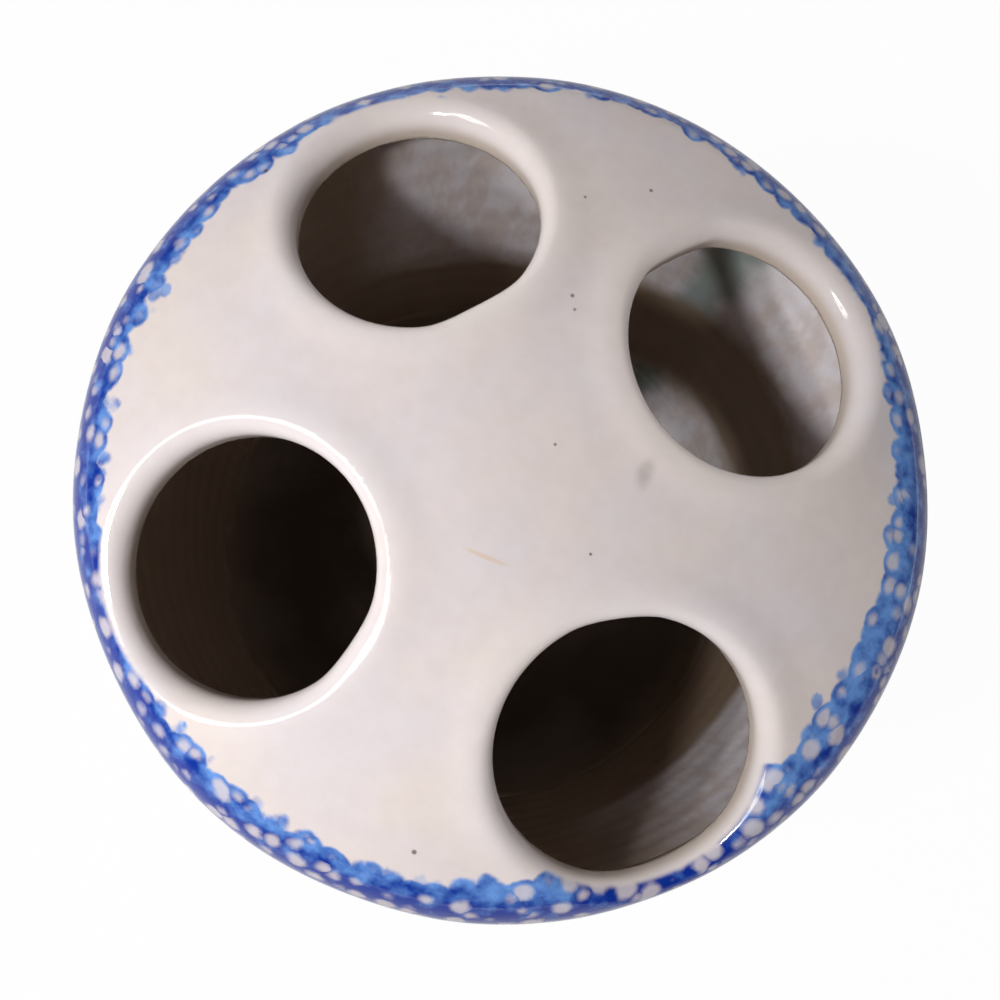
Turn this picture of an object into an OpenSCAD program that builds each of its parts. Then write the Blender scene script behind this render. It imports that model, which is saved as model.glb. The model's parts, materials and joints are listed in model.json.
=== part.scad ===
// Glazed stoneware toothbrush holder: a hollow round pot with a domed top and four brush holes.
// The holes are cut square to the dome and have rolled lips. The shell is hollow down to the
// floor, so all four holes open into one chamber. The clay is drawn as the stages that a potter
// joins before firing, and they meet face to face at level seams.

/* [Pot] */
// Outside diameter at the widest part, where the wall turns into the shoulder
body_d = 92; // [86:1:110]
// Height from the table to the top of the dome
body_h = 100; // [80:1:140]
// How far the wall leans in on each side, from the widest part down to its lower end
wall_taper = 4; // [2:0.5:7]
// Thickness of the fired clay in the wall
wall_t = 3.75; // [3:0.25:5]
// Radius of the outside heel, where the wall turns under the pot
heel_r = 4; // [2:0.5:8]

/* [Dome] */
// Radius of the sphere that the top is a cap of
dome_r = 110; // [95:1:160]
// Thickness of the fired clay in the dome
dome_t = 4.5; // [3.5:0.25:5]
// Radius of the shoulder that rolls from the dome into the wall
shoulder_r = 8; // [6:0.5:12]

/* [Brush holes] */
// Diameter of the cutter that makes the holes
hole_d = 25.4; // [18:0.2:26.4]
// Radius of the rolled lip around each hole
lip_r = 2.4; // [1:0.2:3]
// Width of the lip, from the throat to where it runs out on the dome
lip_w = 3.2; // [3.1:0.1:4.5]

/* [Base] */
// Thickness of the floor
floor_t = 6; // [4:0.5:10]
// Inside radius between the floor and the wall
cove_r = 9; // [4:0.5:16]
// Height of the seam between base and wall above the table
base_h = 20; // [16:1:30]

/* [Foot ring] */
// How far in the bare ring that the pot stands on lies from the wall's lower end
foot_inset = 6; // [5:0.5:12]
// Width of the ring's foot
foot_w = 5; // [3:0.5:8]
// Height of the ring below the base
foot_h = 3; // [2:0.5:5]
// Rounding of the ring's lower edges
foot_edge_r = 1; // [0.5:0.1:1.5]

/* [Hidden] */
$fn = 128;

// How far a cutting shape runs past what it cuts
overrun = 5;

// The holes were cut and smoothed by hand, so each has its own place, its own share of the
// pot's radius from the axis, and its own share of the cutter's size
hole_azimuths = [134.5, 49, 223.5, 313];
hole_reach_shares = [0.607, 0.583, 0.632, 0.668];
hole_d_shares = [1, 1.03, 1.02, 1.06];

body_r = body_d / 2;
foot_r = body_r - wall_taper - foot_inset;
glaze_colour = [0.88, 0.85, 0.83];
sponge_colour = [0.2, 0.38, 0.72];
clay_colour = [0.8, 0.74, 0.64];

// Middle of the sphere that the dome is a cap of, and of the shoulder arc that touches it
dome_z = body_h - dome_r;
shoulder_x = body_r - shoulder_r;
widest_z = dome_z + sqrt(pow(dome_r - shoulder_r, 2) - pow(shoulder_x, 2));

// The wall is one long arc, upright at the shoulder and leaning in towards the foot
wall_rise = widest_z - foot_h;
wall_arc_r = (pow(wall_rise, 2) + pow(wall_taper, 2)) / (2 * wall_taper);
wall_arc_x = body_r - wall_arc_r;
floor_z = foot_h + floor_t;

// Half section of the outside above the widest level: the dome's arc, then the shoulder's
module dome_section() {
    turn = atan2(shoulder_x, widest_z - dome_z);
    touch = [0, dome_z] + (dome_r + overrun) * [sin(turn), cos(turn)];
    intersection() {
        translate([0, dome_z]) circle(dome_r);
        polygon([
            [0, widest_z],
            [shoulder_x, widest_z],
            touch,
            [touch.x, body_h + overrun],
            [0, body_h + overrun]
        ]);
    }
    intersection() {
        translate([shoulder_x, widest_z]) circle(shoulder_r);
        polygon([
            [shoulder_x, widest_z],
            [body_r + overrun, widest_z],
            [body_r + overrun, touch.y],
            touch
        ]);
    }
}

// Half section below the widest level, drawn inset by depth: the wall's arc, and the arc of
// radius corner that turns it to the level low_z
module wall_section(depth, low_z, corner) {
    rise = widest_z - low_z - corner;
    run = sqrt(pow(wall_arc_r - depth - corner, 2) - pow(rise, 2));
    corner_mid = [wall_arc_x + run, low_z + corner];
    fall = atan2(rise, run);
    touch = corner_mid + (corner + overrun) * [cos(fall), -sin(fall)];
    intersection() {
        translate([wall_arc_x, widest_z]) circle(wall_arc_r - depth, $fn = 4 * $fn);
        polygon([
            [0, widest_z],
            [body_r + overrun, widest_z],
            [body_r + overrun, touch.y],
            touch,
            corner_mid,
            [0, corner_mid.y]
        ]);
    }
    intersection() {
        translate(corner_mid) circle(corner);
        polygon([
            corner_mid,
            touch,
            [touch.x, low_z - overrun],
            [corner_mid.x, low_z - overrun]
        ]);
    }
    translate([0, low_z]) square([corner_mid.x, corner]);
}

// The hollow that all the holes open into. Its wall meets the dome at a plain inside corner,
// where the dome was luted on.
module chamber() {
    rotate_extrude() {
        wall_section(wall_t, floor_z, cove_r);
        intersection() {
            translate([0, dome_z]) circle(dome_r - dome_t);
            translate([0, widest_z]) square([body_r - wall_t, dome_r]);
        }
    }
}

// The clay below the widest level, between two levels
module wall_stage(low, high) {
    difference() {
        rotate_extrude() {
            intersection() {
                wall_section(0, foot_h, heel_r);
                translate([0, low]) square([body_r + overrun, high - low]);
            }
        }
        chamber();
    }
}

// What a hole of diameter d takes away, seen from the middle of the dome's sphere along +Z:
// the straight throat, the lip's roll, and the narrow level land that runs out on the dome
module hole_cutter(d) {
    throat_r = d / 2;
    low_z = widest_z - dome_z;
    rim_z = sqrt(pow(dome_r, 2) - pow(throat_r + lip_w, 2));
    roll_mid = [throat_r + lip_r, rim_z - lip_r];
    rotate_extrude() {
        difference() {
            polygon([
                [0, low_z],
                [throat_r, low_z],
                [throat_r, roll_mid.y],
                roll_mid,
                [roll_mid.x, rim_z],
                [throat_r + lip_w + overrun, rim_z],
                [throat_r + lip_w + overrun, dome_r + overrun],
                [0, dome_r + overrun]
            ]);
            translate(roll_mid) circle(lip_r);
        }
    }
}

module domed_top() {
    color(glaze_colour) {
        difference() {
            rotate_extrude() dome_section();
            for (i = [0 : len(hole_azimuths) - 1]) {
                lean = asin(hole_reach_shares[i] * body_r / dome_r);
                translate([0, 0, dome_z])
                    rotate([0, lean, hole_azimuths[i]])
                        hole_cutter(hole_d * hole_d_shares[i]);
            }
            chamber();
        }
    }
}

module side_wall() {
    color(sponge_colour) wall_stage(base_h, widest_z);
}

module base_floor() {
    color(glaze_colour) wall_stage(foot_h, base_h);
}

module foot_ring() {
    color(clay_colour) {
        rotate_extrude() {
            inner_r = foot_r - foot_w;
            translate([inner_r, foot_edge_r]) square([foot_w, foot_h - foot_edge_r]);
            translate([inner_r + foot_edge_r, 0]) square([foot_w - 2 * foot_edge_r, foot_h]);
            for (x = [inner_r + foot_edge_r, foot_r - foot_edge_r]) {
                translate([x, foot_edge_r]) circle(foot_edge_r);
            }
        }
    }
}

domed_top();
side_wall();
base_floor();
foot_ring();
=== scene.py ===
"""Looks of a glazed stoneware toothbrush holder: its meshes, glaze, light and camera.

The clay is one smooth field, negative inside the clay and zero on its surface. The dome is a
net drawn over that field, and the wall and the base are turned round the axis and slid onto
it, so that the glaze runs on over the seams. Lengths are in millimetres up to the meshes, and
in metres from there on.
"""
import itertools
import json
import math

import bmesh
import bpy
import numpy as np
from mathutils import Matrix, Vector


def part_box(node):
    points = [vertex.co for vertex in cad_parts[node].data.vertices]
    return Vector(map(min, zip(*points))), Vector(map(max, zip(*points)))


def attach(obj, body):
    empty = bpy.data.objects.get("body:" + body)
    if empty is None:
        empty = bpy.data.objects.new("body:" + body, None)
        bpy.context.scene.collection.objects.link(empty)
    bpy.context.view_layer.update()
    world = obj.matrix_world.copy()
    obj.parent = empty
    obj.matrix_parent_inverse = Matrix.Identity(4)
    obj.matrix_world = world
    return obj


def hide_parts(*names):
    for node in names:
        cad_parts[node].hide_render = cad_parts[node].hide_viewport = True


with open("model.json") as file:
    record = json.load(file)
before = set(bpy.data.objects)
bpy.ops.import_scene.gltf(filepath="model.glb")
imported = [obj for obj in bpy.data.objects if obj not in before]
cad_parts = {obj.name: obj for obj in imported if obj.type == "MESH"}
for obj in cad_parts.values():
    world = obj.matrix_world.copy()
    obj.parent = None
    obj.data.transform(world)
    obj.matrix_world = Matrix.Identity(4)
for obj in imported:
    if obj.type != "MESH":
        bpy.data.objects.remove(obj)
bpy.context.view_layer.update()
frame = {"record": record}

MM = 0.001


def corner_mm(node, which, axis):
    """One coordinate of a CAD node's lowest (0) or highest (1) corner, in millimetres."""
    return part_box(node)[which][axis] / MM


# Sizes that the frame gives
BODY_R = corner_mm("side_wall", 1, 0)
TOP_Z = corner_mm("domed_top", 1, 2)
WIDEST_Z = corner_mm("side_wall", 1, 2)
BASE_Z = corner_mm("side_wall", 0, 2)
FOOT_H = corner_mm("base_floor", 0, 2)
FOOT_R = corner_mm("foot_ring", 1, 0)

# Sizes of the construction that the frame's boxes don't give
DOME_R = 110.0
DOME_T = 4.5
SHOULDER_R = 8.0
WALL_T = 3.75
WALL_TAPER = 4.0
HEEL_R = 4.0
FLOOR_T = 6.0
COVE_R = 9.0
FOOT_W = 5.0
FOOT_EDGE_R = 1.0

DOME_Z = TOP_Z - DOME_R
SHOULDER_X = BODY_R - SHOULDER_R
SHOULDER_TURN = math.atan2(SHOULDER_X, WIDEST_Z - DOME_Z)
WALL_ARC_R = ((WIDEST_Z - FOOT_H) ** 2 + WALL_TAPER ** 2) / (2 * WALL_TAPER)
WALL_ARC_X = BODY_R - WALL_ARC_R
FLOOR_Z = FOOT_H + FLOOR_T

# The lips: the roll's radius above the throat, on the side towards the pot's rim and on the side
# towards its middle, the roll below the throat, and the low bead that stands round it
LIP_R_RIM = 3.0
LIP_R_MIDDLE = 1.5
THROAT_EDGE_R = 0.9
BEAD_H = 0.4
BEAD_REACH = 2.3
BEAD_W = 2.3
BEAD_END_X = 45.0
BEAD_FADE = 11.0
CEILING_CORNER_R = 1.8

# One side of each hole was cut a little straight: its azimuth from above, in degrees, how far
# it stands in from the round, and how far from the hole's edge the sponged blue keeps off
HOLE_HANDWORK = {
    "brush_hole_back_left": (-38, 0.65, 2.2),
    "brush_hole_back_right": (142, 0.4, 2.2),
    "brush_hole_front_left": (-13, 0.25, 1.9),
    "brush_hole_front_right": (120, 0.15, 0.3),
}
STRAIGHT_BLEND = 0.8

# Where a hole's side would reach the widest level, it runs out just above it
RUN_OUT_Z = 0.5
RUN_OUT_SLOPE = 0.7
RUN_OUT_BLEND = 1.0

# Low waves that the hand left in the clay: radians per millimetre along X, Y and Z, and height
HAND_WAVES = [
    ((0.21, 0.05, 0.08), 0.05),
    ((-0.09, 0.24, 0.03), 0.04),
    ((0.13, -0.17, 0.15), 0.04),
    ((0.34, 0.30, -0.12), 0.015),
]
THROWING_PITCH = 6.5
THROWING_OUT = 0.03
THROWING_IN = 0.03

# The meshes: cells and samples in millimetres, counts of rounds and rows, and how far from an
# edge the attributes for the glaze reach
NET_STEP = 0.6
SAMPLE = 0.01
SLIDES = 4
RELAXINGS = 4
SEGMENTS = 288
WALL_ROWS = 50
FLAT_ROWS = 24
SIDE_ROWS = 12
ARC_ROWS = 9
POLE_R = 0.8
EMBED = 0.3
FOOT_SWAY = 0.0008
FOOT_LOBES = 3
NET_MARGIN = 1
LIP_GLOW = 5.0
LIP_FADE = 0.8
HOLLOW_FADE = 0.8

# Glaze and clay colours as 0 to 255 values
CREAM_WARM = (215, 204, 199)
CREAM_COOL = (211, 203, 205)
CREAM_GREY = (198, 187, 181)
# Lighter near the holes: partly thin glaze on the lips' crests, partly painted highlight
CREAM_LIP_AND_SHEEN = (228, 221, 218)
# The inside's pale and grey are painted light, and its tan and brown are painted shade
INNER_PAINTED_LIGHT = (250, 244, 248)
INNER_PAINTED_LIGHT_GREY = (234, 221, 216)
INNER_PAINTED_SHADE_TAN = (165, 142, 120)
INNER_PAINTED_SHADE_BROWN = (96, 80, 66)
INNER_TEAL = (120, 158, 152)
# Tan in the holes' throats: partly thin glaze at the edge, partly painted shade
THROAT_TAN_AND_SHADE = (194, 178, 163)
BLUE_THIN = (76, 142, 216)
BLUE_THICK = (4, 44, 140)
SPECK = (84, 66, 52)
SCRATCH_TINT = (206, 176, 140)
CLAY_BUFF = (196, 178, 150)
CLAY_TAN = (176, 156, 126)
CLAY_DARK = (120, 98, 74)

# How glossy the surfaces are, and the height of their peel, curds and pits in millimetres
GLAZE_IOR = 1.5
GLAZE_ROUGHNESS = 0.09
INNER_ROUGHNESS = 0.2
DRY_ROUGHNESS = 0.8
CLAY_ROUGHNESS = 0.62
CLAY_ROUGHER = 0.2
PEEL_H = 0.012
CURD_H = 0.12
CLAY_PIT_H = 0.15

# Noise as the size of its lumps in millimetres and its detail. Below, a pair of edges is where a
# smooth step of noise, depth, height or distance starts and ends, and a share is how much of a
# colour it lets through.
CLOUDS = (16, 3)
CLOUD_EDGES = (0.35, 0.65)
MOTTLE = (2.2, 4)
MOTTLE_EDGES = (0.3, 0.7)
MOTTLE_SHARE = 0.25
COARSE = 0.6
PEEL = (1.7, 2)
LIP_AND_SHEEN_SHARE = 0.35
OUTER_DEPTHS = (0.5, 0.25)
THROAT_DEPTHS = (0.3, 0.9)
THROAT_TAN_AND_SHADE_SHARE = 0.8
CLAY_CLOUDS = (6, 3)
CLAY_GRAINS = (0.5, 3)
CLAY_GRAIN_EDGES = (0.55, 0.72)
CLAY_GRAIN_SHARE = 0.6
CLAY_PITS = (0.45, 3)
CLAY_COARSE = 0.7
WORN_EDGES = (0.05, 0.6)

# Inside, the glaze is painted pale and curdled where light falls in through the holes, its pale
# curds partly painted glints. Elsewhere it is painted shade: tan, brown under the dome, and brown
# towards the floor, where the glaze is also dry.
CURDS_AND_GLINTS = (4.0, 3)
CURD_AND_GLINT_EDGES = (0.36, 0.62)
CURD_LUMPS = (2.6, 2)
CURD_DRAWN = (1, 1, 0.35)
DRY_AND_SHADE_EDGES = (9, 24)
FLOOR_SHADE_EDGES = (9.6, 12)
CEILING_SHADE_EDGES = (WIDEST_Z - 1, WIDEST_Z + 2)
# The side of the chamber where the painted light lies, and a tongue of it near the floor
PAINTED_LIT_SIDE = (0.5, 0.87, 0)
PAINTED_LIT_SIDE_EDGES = (-20, 0)
LIT_TONGUE_EDGES = (24, 33)
LIT_TONGUE_HEIGHTS = (18, 8)
# A teal run in it: the level direction across the run, its edges and how far it sways
RUN_ACROSS = (-0.93, 0.36, 0)
RUN_EDGES = (5.0, 1.5)
RUN_SHARE = 0.7
RUN_SWAY = 7.0
SWAY = (9.0, 3)
# The edge of the painted light, with painted shade below it: its height, how far it sways, and
# where across the run it climbs, dips and ends
LIT_EDGE_HEIGHTS = (37, 45)
LIT_EDGE_SWAY = 8.0
CLIMB_EDGES = (25, -14)
CLIMB = 17
DIP_EDGES = (-26, -36)
DIP = 10
END_EDGES = (40, 35)

# Marks on the dome: scattered pinholes, specks with their sizes, a short scratch and a smudge
PIN_CELL = 7.0
PIN_EDGES = (0.05, 0.02)
PIN_LUCK = 0.75
SPECK_SHARE = 0.8
SPECK_CORE = 0.4
DOME_SPECKS = [
    ((-0.8, 15.7, 98.9), 0.3),
    ((-6.6, 8.9, 99.4), 0.22),
    ((2.4, 2.1, 100), 0.25),
    ((9.5, -6.4, 99.4), 0.22),
    ((1.9, 32.4, 95.1), 0.3),
    ((-4.2, 28.3, 96.2), 0.25),
    ((25.7, -6.9, 96.7), 0.25),
    ((-36.2, 19.1, 92.1), 0.4),
]
SCRATCH_PLACE = (0.3, -10.5, 99.5)
SCRATCH_SHAPE = (0.36, 3.2, 0.5)
SCRATCH_EDGES = (1.0, 0.5)
SMUDGE_PLACE = (11.6, 2.9, 99.4)
SMUDGE_SHAPE = (0.8, 0.42, 0.3)
SMUDGE_EDGES = (1.0, 0.2)
SMUDGE_GRAIN = (1.2, 3)
MARK_SHARE = 0.45

# The sponge's marks: cells, warps and reaches in millimetres, how much of the blue the pale gaps
# take away, and how many cells beyond the band are dabs and how blue those are
CELL_SCATTER = 0.9
SPONGE_CELL = 2.4
SWIRL = (2.6, 2)
SPONGE_WARP = 0.8
GRAIN = (0.9, 2)
SPONGE_GRAIN = 0.5
NOISE_MIDDLE = (0.5, 0.5, 0.5)
DRIFT = (7.0, 1)
DRIFT_REACH = 2.4
SCALLOP = 2.4
COVER_EDGES = (-0.35, 0.35)
GAP_EDGES = (0.34, 0.0)
GAP_LUCK = 0.3
GAP_START = (0.3, 1.6)
GAP_SHARE = 0.7
DAB_CELL = 3.6
DAB_EDGES = (0.26, 0.14)
DAB_LUCK = 0.8
DAB_REACH = 2.0
DAB_SHARE = 0.8
BARE_EDGES = (0.9, 0.1)
# How thick the blue is: its noise, and how much more of it there is below the heights DEEP_EDGES
THICKNESS = (1.8, 3)
THICK_SPREAD = 1.5
THICK_BASE = -0.55
THICK_DEEP = 0.7
THICK_EDGES = (0.0, 0.85)
DEEP_EDGES = (WIDEST_Z + 9.0, WIDEST_Z + 3.5)
THIN_SHARE = 0.88
# The sponged bands: the upper one's inner edge round the pot, measured out and down over the
# shoulder, the heights where the bands end, and dabs that lie by themselves
BAND_LEAN = (0.8, -0.6)
BAND_EDGE = 28.3
BAND_ONCE = 1.2
BAND_SHIFT = 0.31
BAND_TWICE = 0.9
BAND_TWICE_SHIFT = 0.42
BAND_LOW_Z = 66.0
FOOT_BAND_Z = 20.0
FOOT_BAND_LOW_Z = 3.6
LONE_DABS = [(-41, 2.3, 92), (-38.3, -16.7, 91.7), (36.8, -10.6, 93.1), (37.5, 12.1, 92.7)]
LONE_EDGES = (1.0, 0.5)

# Light, floor and camera. A lamp has its place in millimetres, size in metres, power and tint.
FLOOR_WHITE = 0.97
FLOOR_IN_GLAZE = 0.12
FLOOR_TINT = (246, 246, 246)
FLOOR_RADIUS = 2.5
FLOOR_SEGMENTS = 96
FLOOR_DROP = 0.02
WHITE = (1, 1, 1)
WORLD_TINT = (255, 244, 236)
WORLD_STRENGTH = 0.08
LAMPS = [
    ("near_lamp", (-57, -72, 234), (0.018, 0.018), 0.21, (1.0, 0.99, 1.0)),
    ("window", (-307, -276, 525), (0.045, 0.045), 1.2, (0.97, 0.985, 1.0)),
    ("window_glow", (-307, -276, 525), (0.16, 0.24), 1.1, (0.97, 0.985, 1.0)),
]
# The window lights the clay as a small lamp, and its wide glow is only mirrored in the glaze
UNLIT_BY = ["window_glow"]
UNMIRRORED = ["window"]
# Low soft lamps that only light the sides: azimuths with powers, and their common distance, size
# and height
SIDE_LAMPS = [(200, 1.5), (290, 1.1), (20, 1.4), (110, 1.7)]
SIDE_DISTANCE = 700
SIDE_SIZE = (0.4, 0.2)
SIDE_HEIGHT = 115
SENSOR = 36.0
PHOTO_PX = 1000
FOCAL_PX = 1200
AXIS_PX = (11.0, -19.8)
CAMERA_DISTANCE = 130.31
CAMERA_LEAN = 10.44
CAMERA_TOWARD = 265.18
CAMERA_ROLL = 27.21
CLIP_START = 0.01


def smooth_min(a, b, k):
    """The smaller of a and b, rounded over k where they meet."""
    h = np.clip(0.5 + 0.5 * (b - a) / k, 0, 1)
    return b + (a - b) * h - k * h * (1 - h)


def round_max(a, b, radius):
    """What a and b both leave, with the edge where they meet rolled to a radius."""
    corner = np.hypot(np.maximum(a + radius, 0), np.maximum(b + radius, 0))
    return np.minimum(-radius, np.maximum(a, b)) + corner


def flat_direction(azimuth):
    """The level unit vector at an azimuth in degrees."""
    turn = math.radians(azimuth)
    return np.array([math.cos(turn), math.sin(turn), 0.0])


class Hole:
    """A brush hole, cut square to the dome along an axis through the dome's centre."""

    def __init__(self, mount):
        self.axis = np.array(mount["axis"])
        self.radius = mount["dims"]["r_mm"]
        azimuth, self.cut, self.blue_off = HOLE_HANDWORK[mount["name"]]
        toward = flat_direction(azimuth)
        across = toward - self.axis * (toward @ self.axis)
        self.side = across / np.linalg.norm(across)
        self.rimward = self.axis * [1, 1, 0] / np.linalg.norm(self.axis[:2])

    def reach(self, p):
        """Distance of points from the hole's axis."""
        v = p - [0, 0, DOME_Z]
        return np.linalg.norm(v - (v @ self.axis)[:, None] * self.axis, axis=1)

    def opening(self, p):
        """How deep points are inside the hole, positive within it."""
        v = p - [0, 0, DOME_Z]
        straight = self.radius - self.cut - v @ self.side
        inside = smooth_min(self.radius - self.reach(p), straight, STRAIGHT_BLEND)
        return smooth_min(inside, RUN_OUT_SLOPE * (p[:, 2] - WIDEST_Z - RUN_OUT_Z), RUN_OUT_BLEND)

    def lip_r(self, p):
        """The roll's radius at points, larger on the side towards the pot's rim."""
        v = p - [0, 0, DOME_Z]
        out = v - (v @ self.axis)[:, None] * self.axis
        share = 0.5 + 0.5 * (out @ self.rimward) / np.maximum(np.linalg.norm(out, axis=1), SAMPLE)
        return LIP_R_MIDDLE + (LIP_R_RIM - LIP_R_MIDDLE) * share

    def bead(self, p):
        """Height of the low bead round the lip, which runs out on the shoulder."""
        share = np.clip((BEAD_END_X - np.hypot(p[:, 0], p[:, 1])) / BEAD_FADE, 0, 1)
        share = share * share * (3 - 2 * share)
        return BEAD_H * share * np.exp(-((self.reach(p) - self.radius - BEAD_REACH) / BEAD_W) ** 2)


HOLES = [Hole(m) for m in frame["record"]["mounts"] if m["kind"] == "bore"]


def arc_corner(depth, low_z, corner):
    """Middle of the arc that turns the wall's arc, inset by depth, to the level low_z."""
    rise = WIDEST_Z - low_z - corner
    run = math.sqrt((WALL_ARC_R - depth - corner) ** 2 - rise ** 2)
    return WALL_ARC_X + run, low_z + corner


def below_widest(rho, z, depth, low_z, corner):
    """Distance outside the wall's section, inset by depth and closed at low_z."""
    cx, cz = arc_corner(depth, low_z, corner)
    wall = np.hypot(rho - WALL_ARC_X, z - WIDEST_Z) - (WALL_ARC_R - depth)
    fall = math.atan2(WIDEST_Z - cz, cx - WALL_ARC_X)
    turned = np.arctan2(WIDEST_Z - z, rho - WALL_ARC_X) > fall
    in_corner = turned & (rho > cx) & (z < cz)
    return np.where(in_corner, np.hypot(rho - cx, z - cz) - corner, np.maximum(wall, low_z - z))


def outside(p):
    """Distance outside the pot's closed outer form."""
    rho, z = np.hypot(p[:, 0], p[:, 1]), p[:, 2]
    dome = np.hypot(rho, z - DOME_Z) - DOME_R
    shoulder = np.hypot(rho - SHOULDER_X, z - WIDEST_Z) - SHOULDER_R
    top = np.where(np.arctan2(rho, z - DOME_Z) < SHOULDER_TURN, dome, shoulder)
    return np.where(z >= WIDEST_Z, top, below_widest(rho, z, 0, FOOT_H, HEEL_R))


def chamber(p):
    """Distance outside the hollow that all the holes open into."""
    rho, z = np.hypot(p[:, 0], p[:, 1]), p[:, 2]
    ceiling = np.hypot(rho, z - DOME_Z) - (DOME_R - DOME_T)
    top = round_max(rho - (BODY_R - WALL_T), ceiling, CEILING_CORNER_R)
    return np.where(z >= WIDEST_Z, top, below_widest(rho, z, WALL_T, FLOOR_Z, COVE_R))


def waves(p, skin):
    """How far the hand left the surface from its true form, inside and out."""
    rise = sum(height * np.sin(p @ np.array(turns) + i)
               for i, (turns, height) in enumerate(HAND_WAVES))
    inner = skin < -WALL_T / 2
    fade = np.clip((WIDEST_Z - p[:, 2]) / THROWING_PITCH, 0, 1)
    fade = fade * np.clip((p[:, 2] - FLOOR_Z - COVE_R) / THROWING_PITCH, 0, 1)
    ring = np.sin(2 * np.pi * p[:, 2] / THROWING_PITCH + np.arctan2(p[:, 1], p[:, 0]))
    return rise + np.where(inner, THROWING_IN, THROWING_OUT) * fade * ring


def clay(p):
    """The pot as one field: negative inside the clay."""
    skin, hollow = outside(p), -chamber(p)
    hand = waves(p, skin)
    if p[:, 2].max() > WIDEST_Z:
        openings = np.array([hole.opening(p) for hole in HOLES])
        nearest = openings.argmax(axis=0)
        opening = openings.max(axis=0)
        roll = np.choose(nearest, [hole.lip_r(p) for hole in HOLES])
        skin = skin - sum(hole.bead(p) for hole in HOLES)
        skin = round_max(skin, opening, roll)
        hollow = round_max(hollow, opening, THROAT_EDGE_R)
    return np.maximum(skin, hollow) - hand


def gradient(p):
    """The field's slope at points, from four samples round each."""
    corners = np.array([(1, -1, -1), (-1, -1, 1), (-1, 1, -1), (1, 1, 1)], float)
    return sum(k * clay(p + SAMPLE * k)[:, None] for k in corners) / (4 * SAMPLE)


def slide(p, level):
    """Moves points onto the clay's surface; those marked level keep their height."""
    for _ in range(SLIDES):
        slope = gradient(p)
        slope[level, 2] = 0
        step = -clay(p)[:, None] * slope / np.maximum((slope ** 2).sum(1), SAMPLE)[:, None]
        p = p + np.clip(step, -NET_STEP, NET_STEP)
    return p


def normals_of(p):
    slope = gradient(p)
    return slope / np.linalg.norm(slope, axis=1)[:, None]


def relax(p, faces, level):
    """Evens out the net's cells while its points stay on the surface."""
    ends = np.concatenate([faces[:, [i, (i + 1) % 4]] for i in range(4)])
    for _ in range(RELAXINGS):
        total = np.zeros_like(p)
        np.add.at(total, ends[:, 0], p[ends[:, 1]])
        np.add.at(total, ends[:, 1], p[ends[:, 0]])
        count = np.bincount(ends.ravel(), minlength=len(p))[:, None]
        mean = total / count
        mean[level] = p[level]
        p = slide(p + 0.5 * (mean - p), level)
    return p


def net(low, high):
    """A net of four-sided cells over the clay's surface, open at the level of its lowest cells."""
    axes = [np.arange(a, b + NET_STEP, NET_STEP) for a, b in zip(low, high)]
    grid = np.stack(np.meshgrid(*axes, indexing="ij"), -1)
    solid = (clay(grid.reshape(-1, 3)) < 0).reshape(grid.shape[:3])
    cells = [n - 1 for n in solid.shape]
    filled = sum(solid[i:i + cells[0], j:j + cells[1], k:k + cells[2]].astype(int)
                 for i, j, k in itertools.product((0, 1), repeat=3))
    crossed = (filled > 0) & (filled < 8)
    number = np.full(crossed.shape, -1)
    number[crossed] = np.arange(crossed.sum())
    where = np.argwhere(crossed)
    points = np.array(low) + (where + 0.5) * NET_STEP
    faces = []
    for axis in range(3):
        one, two = (axis + 1) % 3, (axis + 2) % 3
        lower = [slice(None)] * 3
        upper = [slice(None)] * 3
        lower[axis], upper[axis] = slice(0, -1), slice(1, None)
        start, end = solid[tuple(lower)], solid[tuple(upper)]
        edges = np.argwhere(start != end)
        inner = np.all([(edges[:, i] > 0) & (edges[:, i] < cells[i]) for i in (one, two)], axis=0)
        edges = edges[inner]
        around = []
        for back_one, back_two in ((1, 1), (0, 1), (0, 0), (1, 0)):
            cell = edges.copy()
            cell[:, one] -= back_one
            cell[:, two] -= back_two
            around.append(number[tuple(cell.T)])
        quads = np.stack(around, 1)
        outward = start[tuple(edges.T)]
        faces.append(np.where(outward[:, None], quads, quads[:, ::-1]))
    return points, np.concatenate(faces), where[:, 2] == 0


def lip_shares(p):
    """How near points are to a hole's edge, and whether the blue keeps off them: 1 down to 0."""
    beyond = [(hole.reach(p) - hole.radius, hole.blue_off) for hole in HOLES]
    near = np.max([1 - gap / LIP_GLOW for gap, _ in beyond], axis=0)
    bare = np.max([1 + (off - gap) / LIP_FADE for gap, off in beyond], axis=0)
    return [np.where(p[:, 2] > WIDEST_Z, share, 0) for share in (near, bare)]


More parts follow.
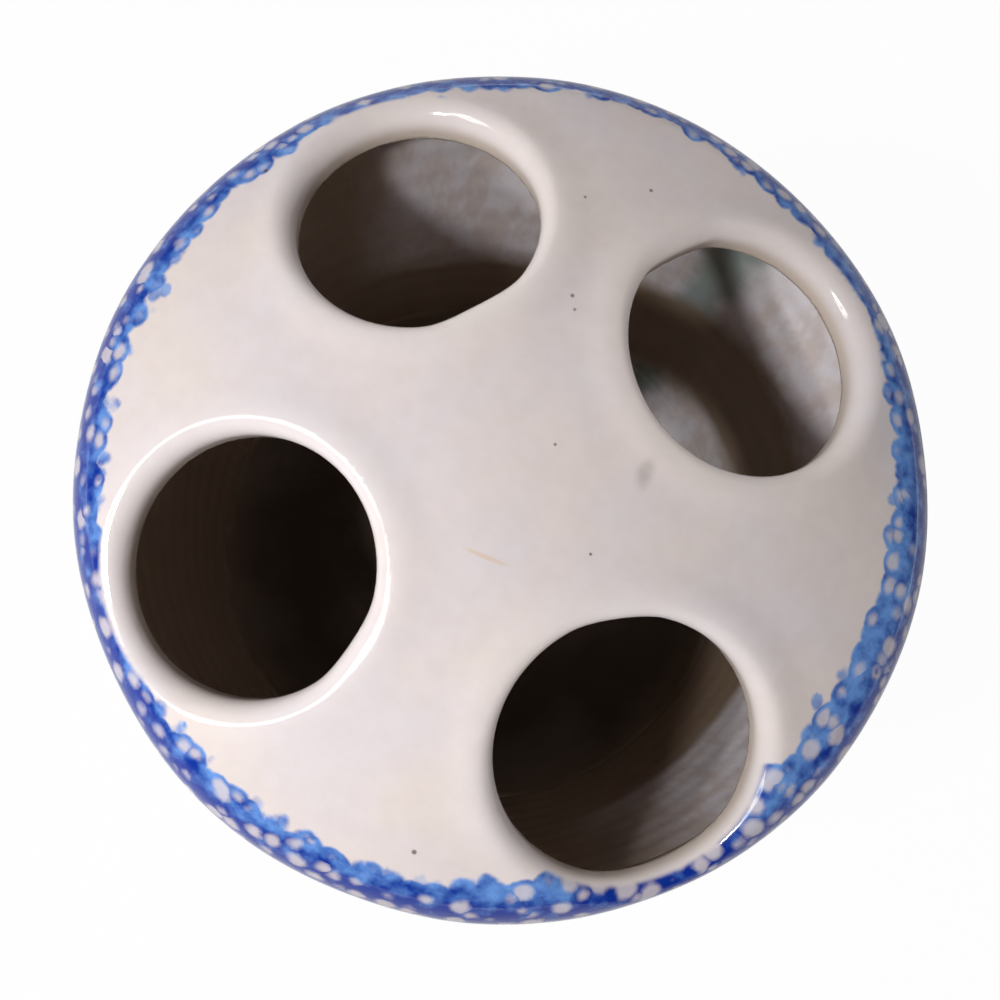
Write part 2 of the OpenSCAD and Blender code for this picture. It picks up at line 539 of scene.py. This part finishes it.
def make_object(name, points, faces, flat=()):
    """A mesh object in metres, its normals taken from the field and its flat faces left plain."""
    mesh = bpy.data.meshes.new(name)
    mesh.from_pydata(points * MM, [], [tuple(int(v) for v in face) for face in faces])
    build = bmesh.new()
    build.from_mesh(mesh)
    seam = [edge for edge in build.edges if edge.is_boundary]
    kept = set(build.faces)
    if seam:
        bmesh.ops.triangle_fill(build, use_beauty=True, edges=seam)
    flat_faces = set(flat)
    for face in build.faces:
        face.smooth = face in kept and face.index not in flat_faces
    bmesh.ops.recalc_face_normals(build, faces=build.faces)
    build.to_mesh(mesh)
    build.free()
    field_normals = normals_of(points)
    loops = np.empty(len(mesh.loops), int)
    mesh.loops.foreach_get("vertex_index", loops)
    custom = field_normals[loops]
    for polygon in mesh.polygons:
        if not polygon.use_smooth:
            custom[polygon.loop_start:polygon.loop_start + polygon.loop_total] = polygon.normal
    mesh.normals_split_custom_set(custom.tolist())
    near, bare = lip_shares(points)
    shares = {
        "depth": -outside(points) / WALL_T,
        "hollow": 1 - chamber(points) / HOLLOW_FADE,
        "lip": near,
        "bare": bare,
    }
    for key, value in shares.items():
        data = mesh.attributes.new(key, "FLOAT", "POINT").data
        data.foreach_set("value", np.clip(value, 0, 1).astype(np.float32))
    piece = bpy.data.objects.new(name, mesh)
    bpy.context.scene.collection.objects.link(piece)
    return piece


def turned(rows):
    """Points of rows (distance from the axis, height) turned round the axis, row by row."""
    turn = np.arange(SEGMENTS) * 2 * np.pi / SEGMENTS
    return np.concatenate([
        np.stack([rho * np.cos(turn), rho * np.sin(turn), np.full(SEGMENTS, z)], 1)
        for rho, z in rows
    ])


def bands(pairs):
    """Four-sided faces between pairs of rows."""
    step = np.arange(SEGMENTS)
    ahead = (step + 1) % SEGMENTS
    return np.concatenate([
        np.stack([a * SEGMENTS + step, a * SEGMENTS + ahead,
                  b * SEGMENTS + ahead, b * SEGMENTS + step], 1)
        for a, b in pairs
    ])


def wall_rho(z, depth):
    """Distance of the wall's arc, inset by depth, from the axis."""
    return WALL_ARC_X + math.sqrt((WALL_ARC_R - depth) ** 2 - (WIDEST_Z - z) ** 2)


def arc_rows(middle, radius, start, end, count):
    """Rows along an arc, from one angle to another in degrees."""
    return [(middle[0] + radius * math.cos(a), middle[1] + radius * math.sin(a))
            for a in np.radians(np.linspace(start, end, count))]


def glazed_dome():
    """The domed top with its four holes, down to the widest level."""
    side = BODY_R + NET_MARGIN
    low = (-side, -side, WIDEST_Z - NET_STEP / 2)
    points, faces, level = net(low, (side, side, TOP_Z + NET_MARGIN))
    points = relax(slide(points, level), faces, level)
    return make_object("glazed_dome", points, faces)


def glazed_wall():
    """The thrown wall between the two level seams."""
    heights = np.linspace(BASE_Z, WIDEST_Z, WALL_ROWS)
    outer = [(wall_rho(z, 0), z) for z in heights]
    inner = [(wall_rho(z, WALL_T), z) for z in heights[::-1]]
    rows = outer + inner
    points = turned(rows)
    points = slide(points, np.full(len(points), True))
    order = list(range(len(rows)))
    pairs = list(zip(order, order[1:] + order[:1]))
    faces = bands(pairs)
    flat = [i for pair in (len(outer) - 1, len(rows) - 1)
            for i in range(pair * SEGMENTS, (pair + 1) * SEGMENTS)]
    return make_object("glazed_wall", points, faces, flat)


def glazed_base():
    """The lower end of the pot: heel, underside and floor, up to the lower seam."""
    heel, cove = arc_corner(0, FOOT_H, HEEL_R), arc_corner(WALL_T, FLOOR_Z, COVE_R)
    under = [(rho, FOOT_H) for rho in np.linspace(POLE_R, heel[0], FLAT_ROWS)]
    outer = [(wall_rho(z, 0), z) for z in np.linspace(heel[1], BASE_Z, SIDE_ROWS)]
    inner = [(wall_rho(z, WALL_T), z) for z in np.linspace(BASE_Z, cove[1], SIDE_ROWS)]
    floor = [(rho, FLOOR_Z) for rho in np.linspace(cove[0], POLE_R, FLAT_ROWS)]
    rows = under + arc_rows(heel, HEEL_R, -90, 0, ARC_ROWS)[1:-1] + outer
    seam = len(rows) - 1
    rows += inner + arc_rows(cove, COVE_R, 0, -90, ARC_ROWS)[1:-1] + floor
    points = turned(rows)
    level = np.zeros(len(points), bool)
    level[seam * SEGMENTS:(seam + 2) * SEGMENTS] = True
    points = slide(points, level)
    faces = list(bands(list(zip(range(len(rows) - 1), range(1, len(rows))))))
    first = np.arange(SEGMENTS)
    faces += [first[::-1], first + (len(rows) - 1) * SEGMENTS]
    return make_object("glazed_base", points, faces, range(seam * SEGMENTS, (seam + 1) * SEGMENTS))


def worn_foot():
    """The unglazed ring that the pot stands on, ground flat below and rounded at its edges."""
    inner_r, edge = FOOT_R - FOOT_W, FOOT_EDGE_R
    rows = [(FOOT_R + EMBED, FOOT_H + EMBED), (FOOT_R, FOOT_H - EMBED)]
    rows += arc_rows((FOOT_R - edge, edge), edge, 0, -90, ARC_ROWS)
    rows += arc_rows((inner_r + edge, edge), edge, -90, -180, ARC_ROWS)
    rows += [(inner_r, FOOT_H - EMBED), (inner_r - EMBED, FOOT_H + EMBED)]
    points = turned(rows)
    turn = np.arctan2(points[:, 1], points[:, 0])
    points[:, :2] *= 1 - FOOT_SWAY * (1 + np.sin(FOOT_LOBES * turn + 1))[:, None]
    order = list(range(len(rows)))
    mesh = bpy.data.meshes.new("worn_foot")
    faces = bands(list(zip(order, order[1:] + order[:1])))
    mesh.from_pydata(points * MM, [], faces.tolist())
    mesh.polygons.foreach_set("use_smooth", [True] * len(mesh.polygons))
    build = bmesh.new()
    build.from_mesh(mesh)
    bmesh.ops.recalc_face_normals(build, faces=build.faces)
    build.to_mesh(mesh)
    build.free()
    piece = bpy.data.objects.new("worn_foot", mesh)
    bpy.context.scene.collection.objects.link(piece)
    return piece


class Nodes:
    """A material's node tree, with a short call for each kind of node."""

    def __init__(self, name):
        self.material = bpy.data.materials.new(name)
        self.material.use_nodes = True
        self.tree = self.material.node_tree
        self.tree.nodes.clear()
        place = self.put("TexCoord").outputs["Object"]
        self.place = self.vector("MULTIPLY", place, (1 / MM,) * 3)
        self.height = self.put("SeparateXYZ", {0: self.place}).outputs[2]

    def put(self, kind, inputs=None, **settings):
        node = self.tree.nodes.new("ShaderNode" + kind)
        for key, value in settings.items():
            setattr(node, key, value)
        for key, value in (inputs or {}).items():
            self.feed(node.inputs[key], value)
        return node

    def feed(self, socket, value):
        if isinstance(value, bpy.types.NodeSocket):
            self.tree.links.new(value, socket)
        else:
            socket.default_value = value

    def math(self, operation, a, b=0.0, c=0.0):
        return self.put("Math", {0: a, 1: b, 2: c}, operation=operation).outputs[0]

    def vector(self, operation, a, b=(0, 0, 0)):
        node = self.put("VectorMath", {0: a, 1: b}, operation=operation)
        number = operation in ("DOT_PRODUCT", "LENGTH", "DISTANCE")
        return node.outputs["Value" if number else "Vector"]

    def step(self, value, low, high, to_high=1.0):
        """A smooth step of value from low to high: 0 up to 1, or up to another height."""
        inputs = {"Value": value, "From Min": low, "From Max": high, "To Max": to_high}
        return self.put("MapRange", inputs, interpolation_type="SMOOTHSTEP").outputs["Result"]

    def noise(self, size, detail, place=None, rough=0.5):
        """Noise with lumps of a size in millimetres: its grey value and its colour."""
        inputs = {"Vector": place or self.place, "Scale": 1 / size, "Detail": detail,
                  "Roughness": rough}
        node = self.put("TexNoise", inputs)
        return node.outputs[0], node.outputs[1]

    def blend(self, share, a, b):
        """Colour a turning to colour b."""
        node = self.put("Mix", {0: share, 6: a, 7: b}, data_type="RGBA")
        return node.outputs[2]

    def attribute(self, name):
        return self.put("Attribute", attribute_name=name).outputs["Fac"]

    def bump(self, height, distance, normal=None):
        inputs = {"Height": height, "Distance": distance, "Strength": 1.0}
        if normal:
            inputs["Normal"] = normal
        return self.put("Bump", inputs).outputs["Normal"]

    def finish(self, shader):
        end = self.put("OutputMaterial")
        self.tree.links.new(shader.outputs[0], end.inputs["Surface"])
        return self.material


def colour(rgb):
    """A colour from its usual 0 to 255 values, by the curve that such values follow."""
    linear = [((v / 255 + 0.055) / 1.055) ** 2.4 if v > 10 else v / 255 / 12.92 for v in rgb]
    return (*linear, 1.0)


def dabs(g, place, size):
    """Cells of a size in millimetres: how far from a cell's middle, the middle, and its luck."""
    inputs = {"Vector": place, "Scale": 1 / size, "Randomness": CELL_SCATTER}
    cell = g.put("TexVoronoi", inputs).outputs
    luck = g.put("SeparateColor", {0: cell["Color"]}).outputs[0]
    return cell["Distance"], cell["Position"], luck


def band(g, place):
    """How deep a place is inside the sponged band at the shoulder, or the one at the foot."""
    x, y, z = g.put("SeparateXYZ", {0: place}).outputs
    rho = g.vector("LENGTH", g.vector("MULTIPLY", place, (1, 1, 0)))
    turn = g.math("ARCTAN2", y, x)
    once = g.math("COSINE", g.math("ADD", turn, BAND_SHIFT))
    twice = g.math("COSINE", g.math("MULTIPLY_ADD", turn, 2.0, BAND_TWICE_SHIFT))
    edge = g.math("MULTIPLY_ADD", once, -BAND_ONCE, BAND_EDGE)
    edge = g.math("MULTIPLY_ADD", twice, -BAND_TWICE, edge)
    down = g.math("MULTIPLY", g.math("SUBTRACT", z, WIDEST_Z), BAND_LEAN[1])
    out = g.math("MULTIPLY_ADD", rho, BAND_LEAN[0], down)
    upper = g.math("MINIMUM", g.math("SUBTRACT", out, edge), g.math("SUBTRACT", z, BAND_LOW_Z))
    lower = g.math("MINIMUM", g.math("SUBTRACT", FOOT_BAND_Z, z),
                   g.math("SUBTRACT", z, FOOT_BAND_LOW_Z))
    return g.math("MAXIMUM", upper, lower)


def sponge(g):
    """Where the sponge left blue, and how thickly: a scalloped field with pale gaps, and dabs."""
    swirl = g.vector("SUBTRACT", g.noise(*SWIRL)[1], NOISE_MIDDLE)
    grain = g.vector("SUBTRACT", g.noise(*GRAIN)[1], NOISE_MIDDLE)
    warped = g.vector("ADD", g.place, g.vector("MULTIPLY", swirl, (SPONGE_WARP,) * 3))
    warped = g.vector("ADD", warped, g.vector("MULTIPLY", grain, (SPONGE_GRAIN,) * 3))
    away, _, gap_luck = dabs(g, warped, SPONGE_CELL)
    drift = g.math("MULTIPLY_ADD", g.noise(*DRIFT)[0], DRIFT_REACH, -0.5 * DRIFT_REACH)
    lobes = g.math("MULTIPLY_ADD", away, -SCALLOP, 0.5 * SCALLOP)
    inside = g.math("ADD", band(g, g.place), g.math("ADD", drift, lobes))
    cover = g.step(inside, *COVER_EDGES)
    gap = g.step(away, *(g.math("MULTIPLY_ADD", gap_luck, GAP_LUCK, edge) for edge in GAP_EDGES))
    gap = g.math("MULTIPLY", gap, g.step(inside, *GAP_START))
    blue = g.math("MULTIPLY", cover, g.math("MULTIPLY_ADD", gap, -GAP_SHARE, 1.0))
    dab_away, middle, dab_luck = dabs(g, warped, DAB_CELL)
    dab = g.math("MULTIPLY", g.step(dab_away, *DAB_EDGES),
                 g.math("GREATER_THAN", dab_luck, DAB_LUCK))
    dab = g.math("MULTIPLY", dab, g.math("GREATER_THAN", band(g, middle), -DAB_REACH))
    for place in LONE_DABS:
        dab = g.math("MAXIMUM", dab, g.step(g.vector("DISTANCE", warped, place), *LONE_EDGES))
    blue = g.math("MAXIMUM", blue, g.math("MULTIPLY", dab, DAB_SHARE))
    blue = g.math("MULTIPLY", blue, g.step(g.attribute("bare"), *BARE_EDGES))
    deep = g.math("MULTIPLY_ADD", g.step(g.height, *DEEP_EDGES), THICK_DEEP, THICK_BASE)
    thick = g.math("MULTIPLY_ADD", g.noise(*THICKNESS)[0], THICK_SPREAD, deep)
    return blue, g.step(thick, *THICK_EDGES)


def painted_light_inside(g, drawn):
    """Colour of the glaze inside: painted light, pale and curdled with a teal run, down to an
    edge, and painted shade round and below it.
    """
    facing = g.vector("DOT_PRODUCT", g.place, PAINTED_LIT_SIDE)
    across = g.vector("DOT_PRODUCT", g.place, RUN_ACROSS)
    noise = g.noise(*SWAY)[0]
    # The pale curds are partly curdled glaze and partly painted glints
    curd_and_glint = g.step(g.noise(*CURDS_AND_GLINTS, place=drawn, rough=COARSE)[0], *CURD_AND_GLINT_EDGES)
    pale = g.blend(curd_and_glint, colour(INNER_PAINTED_LIGHT_GREY), colour(INNER_PAINTED_LIGHT))
    sway = g.math("MULTIPLY_ADD", noise, RUN_SWAY, -0.5 * RUN_SWAY)
    run = g.step(g.math("ABSOLUTE", g.math("ADD", across, sway)), *RUN_EDGES)
    pale = g.blend(g.math("MULTIPLY", run, RUN_SHARE), pale, colour(INNER_TEAL))
    low = g.math("ADD", g.height, -0.5 * LIT_EDGE_SWAY)
    lit_edge = g.math("MULTIPLY_ADD", noise, LIT_EDGE_SWAY, low)
    lit_edge = g.math("SUBTRACT", lit_edge, g.step(across, *CLIMB_EDGES, to_high=CLIMB))
    lit_edge = g.math("ADD", lit_edge, g.step(across, *DIP_EDGES, to_high=DIP))
    above = g.math("MULTIPLY", g.step(lit_edge, *LIT_EDGE_HEIGHTS), g.step(facing, *PAINTED_LIT_SIDE_EDGES))
    above = g.math("MULTIPLY", above, g.step(across, *END_EDGES))
    lit_tongue = g.math("MULTIPLY", g.step(lit_edge, *LIT_TONGUE_HEIGHTS), g.step(facing, *LIT_TONGUE_EDGES))
    # Painted shade: brown low down, tan higher up and in the tongue
    bare = g.blend(g.math("MAXIMUM", g.step(g.height, *DRY_AND_SHADE_EDGES), lit_tongue),
                   colour(INNER_PAINTED_SHADE_BROWN), colour(INNER_PAINTED_SHADE_TAN))
    inner = g.blend(g.math("MAXIMUM", above, lit_tongue), bare, pale)
    # Painted shade: brown over the floor and under the dome
    inner = g.blend(g.step(g.height, *FLOOR_SHADE_EDGES), colour(INNER_PAINTED_SHADE_BROWN), inner)
    return g.blend(g.step(g.height, *CEILING_SHADE_EDGES), inner, colour(INNER_PAINTED_SHADE_BROWN))


def mark(g, place, shape, edges):
    """How near a place is to the middle of a scratch or smudge of a shape."""
    away = g.vector("MULTIPLY", g.vector("SUBTRACT", g.place, place), shape)
    return g.step(g.vector("LENGTH", away), *edges)


def marked(g, body, outer):
    """The colour body with the pinholes, specks, scratch and smudge on it."""
    away, _, luck = dabs(g, g.place, PIN_CELL)
    speck = g.math("MULTIPLY", g.step(away, *PIN_EDGES), g.math("GREATER_THAN", luck, PIN_LUCK))
    for place, size in DOME_SPECKS:
        one = g.step(g.vector("DISTANCE", g.place, place), size, SPECK_CORE * size)
        speck = g.math("MAXIMUM", speck, one)
    speck = g.math("MULTIPLY", g.math("MULTIPLY", speck, outer), SPECK_SHARE)
    body = g.blend(speck, body, colour(SPECK))
    scratch = mark(g, SCRATCH_PLACE, SCRATCH_SHAPE, SCRATCH_EDGES)
    body = g.blend(g.math("MULTIPLY", scratch, MARK_SHARE), body, colour(SCRATCH_TINT))
    smudge = mark(g, SMUDGE_PLACE, SMUDGE_SHAPE, SMUDGE_EDGES)
    smudge = g.math("MULTIPLY", smudge, g.noise(*SMUDGE_GRAIN)[0])
    return g.blend(g.math("MULTIPLY", smudge, MARK_SHARE), body, colour(SPECK))


def glaze(name):
    """Glossy cream glaze over buff clay, with the sponged cobalt under it."""
    g = Nodes(name)
    depth, lip, hollow = (g.attribute(key) for key in ("depth", "lip", "hollow"))
    outer = g.step(depth, *OUTER_DEPTHS)
    drawn = g.vector("MULTIPLY", g.place, CURD_DRAWN)
    cloud = g.step(g.noise(*CLOUDS)[0], *CLOUD_EDGES)
    body = g.blend(cloud, colour(CREAM_WARM), colour(CREAM_COOL))
    mottle = g.step(g.noise(*MOTTLE, rough=COARSE)[0], *MOTTLE_EDGES)
    body = g.blend(g.math("MULTIPLY", mottle, MOTTLE_SHARE), body, colour(CREAM_GREY))
    # Lighter lips: partly thin glaze, partly painted highlight
    body = g.blend(g.math("MULTIPLY", lip, LIP_AND_SHEEN_SHARE), body, colour(CREAM_LIP_AND_SHEEN))
    # Tan in the throats: partly thin glaze, partly painted shade
    throat = g.math("MULTIPLY", g.step(depth, *THROAT_DEPTHS), THROAT_TAN_AND_SHADE_SHARE)
    body = g.blend(throat, body, colour(THROAT_TAN_AND_SHADE))
    # Inside the chamber the colour is painted light and painted shade
    body = g.blend(hollow, body, painted_light_inside(g, drawn))
    blue, thick = sponge(g)
    paint = g.blend(thick, colour(BLUE_THIN), colour(BLUE_THICK))
    cover = g.math("MULTIPLY_ADD", thick, 1 - THIN_SHARE, THIN_SHARE)
    body = g.blend(g.math("MULTIPLY", g.math("MULTIPLY", blue, outer), cover), body, paint)
    body = marked(g, body, outer)
    curdled = g.math("MULTIPLY", g.noise(*CURD_LUMPS, place=drawn)[0], hollow)
    peel = g.bump(g.noise(*PEEL)[0], PEEL_H * MM)
    normal = g.bump(curdled, CURD_H * MM, normal=peel)
    inner_rough = g.math("MULTIPLY_ADD", g.step(g.height, *DRY_AND_SHADE_EDGES),
                         INNER_ROUGHNESS - DRY_ROUGHNESS, DRY_ROUGHNESS)
    rougher = g.math("SUBTRACT", inner_rough, GLAZE_ROUGHNESS)
    rough = g.math("MULTIPLY_ADD", hollow, rougher, GLAZE_ROUGHNESS)
    shader = g.put("BsdfPrincipled", {"Base Color": body, "Roughness": rough, "IOR": GLAZE_IOR,
                                      "Normal": normal})
    return g.finish(shader)


def bare_clay():
    """Unglazed stoneware, buff with darker grains, ground smooth where it stands."""
    g = Nodes("bare_clay")
    cloud = g.step(g.noise(*CLAY_CLOUDS)[0], *MOTTLE_EDGES)
    body = g.blend(cloud, colour(CLAY_BUFF), colour(CLAY_TAN))
    grain = g.step(g.noise(*CLAY_GRAINS, rough=CLAY_COARSE)[0], *CLAY_GRAIN_EDGES)
    body = g.blend(g.math("MULTIPLY", grain, CLAY_GRAIN_SHARE), body, colour(CLAY_DARK))
    unworn = g.step(g.height, *WORN_EDGES)
    rough = g.math("MULTIPLY_ADD", unworn, CLAY_ROUGHER, CLAY_ROUGHNESS)
    pits = g.math("MULTIPLY", g.noise(*CLAY_PITS, rough=CLAY_COARSE)[0], unworn)
    shader = g.put("BsdfPrincipled", {"Base Color": body, "Roughness": rough,
                                      "Normal": g.bump(pits, CLAY_PIT_H * MM)})
    return g.finish(shader)


def white_floor():
    """A plain floor that the camera sees nearly white and the glaze mirrors dim."""
    g = Nodes("white_floor")
    lit = g.put("BsdfDiffuse", {"Color": colour(FLOOR_TINT)})
    bright = g.put("Emission", {"Color": (*WHITE, 1), "Strength": 1.0})
    ray = g.put("LightPath").outputs
    reflected = g.math("MAXIMUM", ray["Is Glossy Ray"], ray["Is Transmission Ray"])
    seen = g.math("MAXIMUM", g.math("MULTIPLY", ray["Is Camera Ray"], FLOOR_WHITE),
                  g.math("MULTIPLY", reflected, FLOOR_IN_GLAZE))
    mix = g.put("MixShader", {0: seen, 1: lit.outputs[0], 2: bright.outputs[0]})
    return g.finish(mix)


def softbox(name, place, size, watts, tint):
    """A soft rectangular lamp at a place in millimetres, turned to the pot's widest level."""
    data = bpy.data.lights.new(name, "AREA")
    data.shape = "RECTANGLE"
    data.size, data.size_y = size
    data.energy = watts
    data.color = tint
    lamp = bpy.data.objects.new(name, data)
    lamp.location = Vector(place) * MM
    back = lamp.location - Vector((0, 0, WIDEST_Z * MM))
    lamp.rotation_euler = back.to_track_quat("Z", "Y").to_euler()
    bpy.context.scene.collection.objects.link(lamp)
    return lamp


def photo_camera():
    """The photograph's view: almost straight down, close by, and turned on its side a little."""
    lean, toward, roll = (math.radians(v) for v in (CAMERA_LEAN, CAMERA_TOWARD, CAMERA_ROLL))
    back = Vector((math.sin(lean) * math.cos(toward), math.sin(lean) * math.sin(toward),
                   math.cos(lean)))
    level = Vector((-math.sin(toward), math.cos(toward), 0))
    rise = back.cross(level)
    right = math.cos(roll) * level + math.sin(roll) * rise
    up = math.cos(roll) * rise - math.sin(roll) * level
    data = bpy.data.cameras.new("photo_camera")
    data.sensor_width = SENSOR
    data.lens = SENSOR * FOCAL_PX / PHOTO_PX
    data.shift_x = -AXIS_PX[0] / PHOTO_PX
    data.shift_y = AXIS_PX[1] / PHOTO_PX
    data.clip_start = CLIP_START
    camera = bpy.data.objects.new("photo_camera", data)
    eye = Vector((0, 0, WIDEST_Z)) + back * CAMERA_DISTANCE
    turn = Matrix((right, up, back)).transposed().to_4x4()
    camera.matrix_world = Matrix.Translation(eye * MM) @ turn
    bpy.context.scene.collection.objects.link(camera)
    bpy.context.scene.camera = camera


def floor_disc():
    build = bmesh.new()
    bmesh.ops.create_circle(build, cap_ends=True, radius=FLOOR_RADIUS, segments=FLOOR_SEGMENTS)
    mesh = bpy.data.meshes.new("floor")
    build.to_mesh(mesh)
    build.free()
    floor = bpy.data.objects.new("floor", mesh)
    bpy.context.scene.collection.objects.link(floor)
    mesh.materials.append(white_floor())
    floor.location.z = -FLOOR_DROP * MM


def world_light():
    world = bpy.data.worlds.new("studio")
    world.use_nodes = True
    tree = world.node_tree
    tree.nodes.clear()
    soft = tree.nodes.new("ShaderNodeBackground")
    soft.inputs["Color"].default_value = colour(WORLD_TINT)
    soft.inputs["Strength"].default_value = WORLD_STRENGTH
    white = tree.nodes.new("ShaderNodeBackground")
    white.inputs["Color"].default_value = (*WHITE, 1)
    ray = tree.nodes.new("ShaderNodeLightPath")
    mix = tree.nodes.new("ShaderNodeMixShader")
    end = tree.nodes.new("ShaderNodeOutputWorld")
    tree.links.new(ray.outputs["Is Camera Ray"], mix.inputs[0])
    tree.links.new(soft.outputs[0], mix.inputs[1])
    tree.links.new(white.outputs[0], mix.inputs[2])
    tree.links.new(mix.outputs[0], end.inputs["Surface"])
    bpy.context.scene.world = world


PIECES = [
    (glazed_dome(), glaze("dome_glaze"), "domed_top", "cream_glaze"),
    (glazed_wall(), glaze("wall_glaze"), "side_wall", "sponged_glaze"),
    (glazed_base(), glaze("base_glaze"), "base_floor", "cream_glaze"),
    (worn_foot(), bare_clay(), "foot_ring", "bare_clay"),
]
for piece, material, node, slot in PIECES:
    piece.data.materials.append(material)
    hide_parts(node)
    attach(piece, "root")

floor_disc()
world_light()
photo_camera()
for lamp in LAMPS:
    shone = softbox(*lamp)
    shone.visible_diffuse = lamp[0] not in UNLIT_BY
    shone.visible_glossy = lamp[0] not in UNMIRRORED
for azimuth, watts in SIDE_LAMPS:
    place = SIDE_DISTANCE * flat_direction(azimuth) + [0, 0, SIDE_HEIGHT]
    side = softbox(f"side_lamp_{azimuth}", place, SIDE_SIZE, watts, WHITE)
    side.visible_glossy = False
bpy.context.scene.view_settings.view_transform = "Standard"
